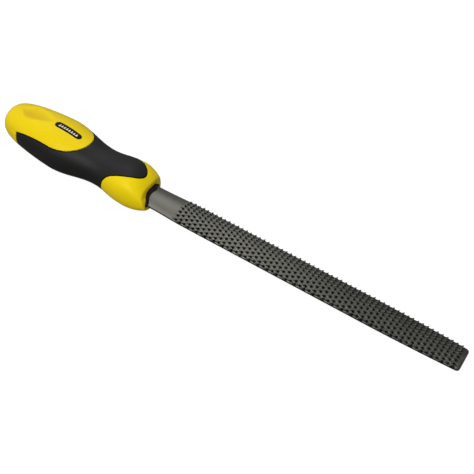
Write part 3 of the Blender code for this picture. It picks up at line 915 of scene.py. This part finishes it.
def yellow_finish():
    """Glossy moulded plastic with a faint orange peel, slight differences in tone, rubbed patches and painted
    shade in the thumb scoop.
    """
    finish = Finish("yellow_moulded_plastic")
    shade = finish.noise(35.0, 3.0)
    rubbed = finish.noise(160.0, 5.0)
    peel = finish.noise(1500.0, 2.0)
    grain = finish.noise(5200.0, 2.0)
    base = finish.mix(finish.remap(shade, 0.3, 0.7), (0.77, 0.58, 0.002, 1.0), (0.72, 0.53, 0.001, 1.0))
    base = finish.mix(finish.remap(rubbed, 0.55, 0.8, 0.0, 0.12), base, (0.68, 0.49, 0.008, 1.0))
    # Painted shade in the thumb scoop, read from the shell's points
    shade = finish.add("ShaderNodeAttribute", attribute_name="shade").outputs["Fac"]
    base = finish.mix(finish.remap(shade, 0.0, 0.75, 0.0, 0.9), base, (0.62, 0.39, 0.001, 1.0))
    roughness = finish.remap(rubbed, 0.3, 0.75, 0.34, 0.46)
    normal = finish.bump(peel, 0.03, 0.35)
    normal = finish.bump(grain, 0.01, 0.3, normal)
    return finish.set(Base_Color=base, Roughness=roughness, Normal=normal, Specular_IOR_Level=0.3,
                      Specular_Tint=(1.0, 0.9, 0.3, 1.0))


def grip_finish():
    """Matt soft-touch rubber with a spark-eroded micro texture, a slight bloom and painted shade in the
    grooves along its edges.
    """
    finish = Finish("black_soft_touch")
    bloom = finish.noise(60.0, 4.0)
    texture = finish.noise(2600.0, 3.0, roughness=0.6)
    base = finish.mix(finish.remap(bloom, 0.3, 0.75), (0.004, 0.0045, 0.004, 1.0),
                      (0.007, 0.0075, 0.0065, 1.0))
    # Painted shade in the grooves along the grip's edges, where the reflection is also turned down
    shade = finish.add("ShaderNodeAttribute", attribute_name="shade").outputs["Fac"]
    base = finish.mix(shade, base, grey(0.001))
    specular = finish.remap(shade, 0.0, 1.0, 0.25, 0.02)
    roughness = finish.remap(texture, 0.3, 0.75, 0.46, 0.62)
    normal = finish.bump(texture, 0.04, 0.5)
    return finish.set(Base_Color=base, Roughness=roughness, Normal=normal, Specular_IOR_Level=specular)


def core_finish():
    """Near-black hard plastic with a warm cast and faint moulding marks."""
    finish = Finish("black_hard_plastic")
    flow = finish.noise(300.0, 3.0, stretch=(0.3, 1.0, 1.0))
    fine = finish.noise(2200.0, 2.0)
    base = finish.mix(finish.remap(flow, 0.3, 0.7), (0.006, 0.002, 0.002, 1.0), (0.012, 0.005, 0.005, 1.0))
    roughness = finish.remap(fine, 0.3, 0.7, 0.4, 0.55)
    return finish.set(Base_Color=base, Roughness=roughness, Normal=finish.bump(fine, 0.02, 0.4),
                      Specular_IOR_Level=0.12)


def badge_finish():
    """Satin black label plate with fine scuffs."""
    finish = Finish("badge_satin_black")
    scuffs = finish.noise(700.0, 4.0, stretch=(0.25, 1.0, 1.0))
    base = finish.mix(finish.remap(scuffs, 0.55, 0.8, 0.0, 0.5), grey(0.002), grey(0.008))
    roughness = finish.remap(scuffs, 0.3, 0.8, 0.28, 0.5)
    return finish.set(Base_Color=base, Roughness=roughness, Normal=finish.bump(scuffs, 0.01, 0.4),
                      Specular_IOR_Level=0.1)


def print_finish():
    """Pale printed ink, slightly uneven."""
    finish = Finish("badge_pale_print")
    cover = finish.noise(900.0, 4.0)
    base = finish.mix(finish.remap(cover, 0.3, 0.75), (0.78, 0.74, 0.6, 1.0), (0.6, 0.55, 0.4, 1.0))
    return finish.set(Base_Color=base, Roughness=finish.remap(cover, 0.3, 0.8, 0.4, 0.6),
                      Normal=finish.bump(cover, 0.01, 0.3))


def dress(piece, material, node=None):
    """Give a piece its finish and its place on the body, and hide the CAD node that it stands for, if any."""
    piece.data.materials.clear()
    piece.data.materials.append(material)
    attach(piece, "root")
    if node:
        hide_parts(node)


# ---------------------------------------------------------------- studio

VIEW_CENTRE = Vector((0.0466, 0.003, 0.0))
VIEW_DISTANCE = 0.5189
VIEW_SWING = 17.35           # degrees towards the tip
VIEW_TILT = 41.0             # degrees from straight above
VIEW_ROLL = 27.84
LENS = 68.35                 # mm, on a 36 mm wide sensor
SENSOR = 36.0
CLIP_RANGE = (0.01, 50.0)


def build_camera():
    swing, tilt, roll = (math.radians(angle) for angle in (VIEW_SWING, VIEW_TILT, VIEW_ROLL))
    towards = Vector((math.sin(swing), -math.cos(swing) * math.sin(tilt), math.cos(swing) * math.cos(tilt)))
    along = Vector((1.0, 0.0, 0.0))
    level = (along - towards * towards.dot(along)).normalized()
    below = (-towards).cross(level)
    right = math.cos(roll) * level - math.sin(roll) * below
    down = math.sin(roll) * level + math.cos(roll) * below
    turn = Matrix((right, -down, towards)).transposed().to_4x4()
    data = bpy.data.cameras.new("camera")
    data.sensor_width = SENSOR
    data.lens = LENS
    data.clip_start, data.clip_end = CLIP_RANGE
    camera = bpy.data.objects.new("camera", data)
    camera.matrix_world = Matrix.Translation(VIEW_CENTRE + towards * VIEW_DISTANCE) @ turn
    bpy.context.scene.collection.objects.link(camera)
    bpy.context.scene.camera = camera


def shader_mix(tree, share, first, second):
    """The first shader where the share is 0, the second where it is 1."""
    mix = tree.nodes.new("ShaderNodeMixShader")
    tree.links.new(share, mix.inputs["Fac"])
    tree.links.new(first.outputs[0], mix.inputs[1])
    tree.links.new(second.outputs[0], mix.inputs[2])
    return mix


def camera_ray_mix(tree, seen, unseen):
    """One shader for what the camera sees directly, another for all other rays."""
    path = tree.nodes.new("ShaderNodeLightPath")
    return shader_mix(tree, path.outputs["Is Camera Ray"], unseen, seen)


FLOOR_SIZE = 12.0
TIP_REGION = 0.9              # points past this share of the tool's front end count as its tip
FLOOR_ALBEDO = 0.2
FLOOR_GLOW = 0.9              # share of the floor's look that is even white
WORLD_LIGHT = 0.55
BACK_LIGHT = 0.32             # what is left of it low down behind the tool
BEHIND = (0.0, 0.94, -0.34)
WHITE = (1.0, 1.0, 1.0, 1.0)


def floor_finish():
    material = bpy.data.materials.new("studio_floor")
    material.use_nodes = True
    tree = material.node_tree
    tree.nodes.remove(tree.nodes["Principled BSDF"])
    output = tree.nodes["Material Output"]
    paper = tree.nodes.new("ShaderNodeBsdfDiffuse")
    paper.inputs["Color"].default_value = (FLOOR_ALBEDO, FLOOR_ALBEDO, FLOOR_ALBEDO, 1.0)
    glow = tree.nodes.new("ShaderNodeEmission")
    glow.inputs["Color"].default_value = WHITE
    glow.inputs["Strength"].default_value = FLOOR_GLOW
    lit = tree.nodes.new("ShaderNodeAddShader")
    tree.links.new(paper.outputs[0], lit.inputs[0])
    tree.links.new(glow.outputs[0], lit.inputs[1])
    mix = camera_ray_mix(tree, lit, paper)
    behind = tree.nodes.new("ShaderNodeNewGeometry").outputs["Backfacing"]
    clear = tree.nodes.new("ShaderNodeBsdfTransparent")
    one_sided = shader_mix(tree, behind, mix, clear)
    tree.links.new(one_sided.outputs[0], output.inputs["Surface"])
    return material


def build_floor():
    """A pale plane that touches the blade's tip and the underside of the handle, as the tool lies."""
    points = [vertex.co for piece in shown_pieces() for vertex in piece.data.vertices]
    end_x = max(point.x for point in points)
    tip = min((point for point in points if point.x > TIP_REGION * end_x), key=lambda point: point.z)
    slope = max((tip.z - point.z) / (tip.x - point.x) for point in points if point.x < 0)
    reach = FLOOR_SIZE / 2
    corners = [(x, y, tip.z + slope * (x - tip.x)) for x, y in
               ((-reach, -reach), (reach, -reach), (reach, reach), (-reach, reach))]
    mesh = bpy.data.meshes.new("floor")
    mesh.from_pydata(corners, [], [(0, 1, 2, 3)])
    mesh.materials.append(floor_finish())
    floor = bpy.data.objects.new("floor", mesh)
    bpy.context.scene.collection.objects.link(floor)


def build_world():
    world = bpy.data.worlds.new("studio")
    world.use_nodes = True
    tree = world.node_tree
    around = tree.nodes["Background"]
    around.inputs["Color"].default_value = WHITE
    direction = tree.nodes.new("ShaderNodeTexCoord").outputs["Generated"]
    behind = tree.nodes.new("ShaderNodeVectorMath")
    behind.operation = "DOT_PRODUCT"
    tree.links.new(direction, behind.inputs[0])
    behind.inputs[1].default_value = BEHIND
    fade = tree.nodes.new("ShaderNodeMapRange")
    tree.links.new(behind.outputs["Value"], fade.inputs["Value"])
    fade.inputs["To Min"].default_value = WORLD_LIGHT
    fade.inputs["To Max"].default_value = BACK_LIGHT
    tree.links.new(fade.outputs["Result"], around.inputs["Strength"])
    backdrop = tree.nodes.new("ShaderNodeBackground")
    backdrop.inputs["Color"].default_value = WHITE
    mix = camera_ray_mix(tree, backdrop, around)
    tree.links.new(mix.outputs[0], tree.nodes["World Output"].inputs["Surface"])
    bpy.context.scene.world = world


def softbox(name, place, size, power):
    """Square area light at a place counted from the view's centre, aimed at that centre."""
    data = bpy.data.lights.new(name, "AREA")
    data.size = size
    data.energy = power
    light = bpy.data.objects.new(name, data)
    light.location = VIEW_CENTRE + Vector(place)
    light.rotation_mode = "QUATERNION"
    light.rotation_quaternion = Vector(place).to_track_quat("Z", "Y")
    bpy.context.scene.collection.objects.link(light)


def build_studio():
    bpy.context.scene.view_settings.view_transform = "Standard"
    build_world()
    softbox("key_light", (-0.1, -1.0, 0.78), 0.7, 9.0)
    softbox("top_light", (-0.5, 0.3, 1.2), 1.2, 6.0)
    build_floor()
    build_camera()


def main():
    dress(build_blade(), steel_finish(), "rasp_blade")
    dress(build_shell(), yellow_finish(), "handle_shell")
    dress(build_grip(), grip_finish(), "soft_grip")
    dress(build_badge(), badge_finish(), "badge")
    dress(build_badge_marks(), print_finish())
    dress(build_core(), core_finish(), "tang_core")
    build_studio()


main()
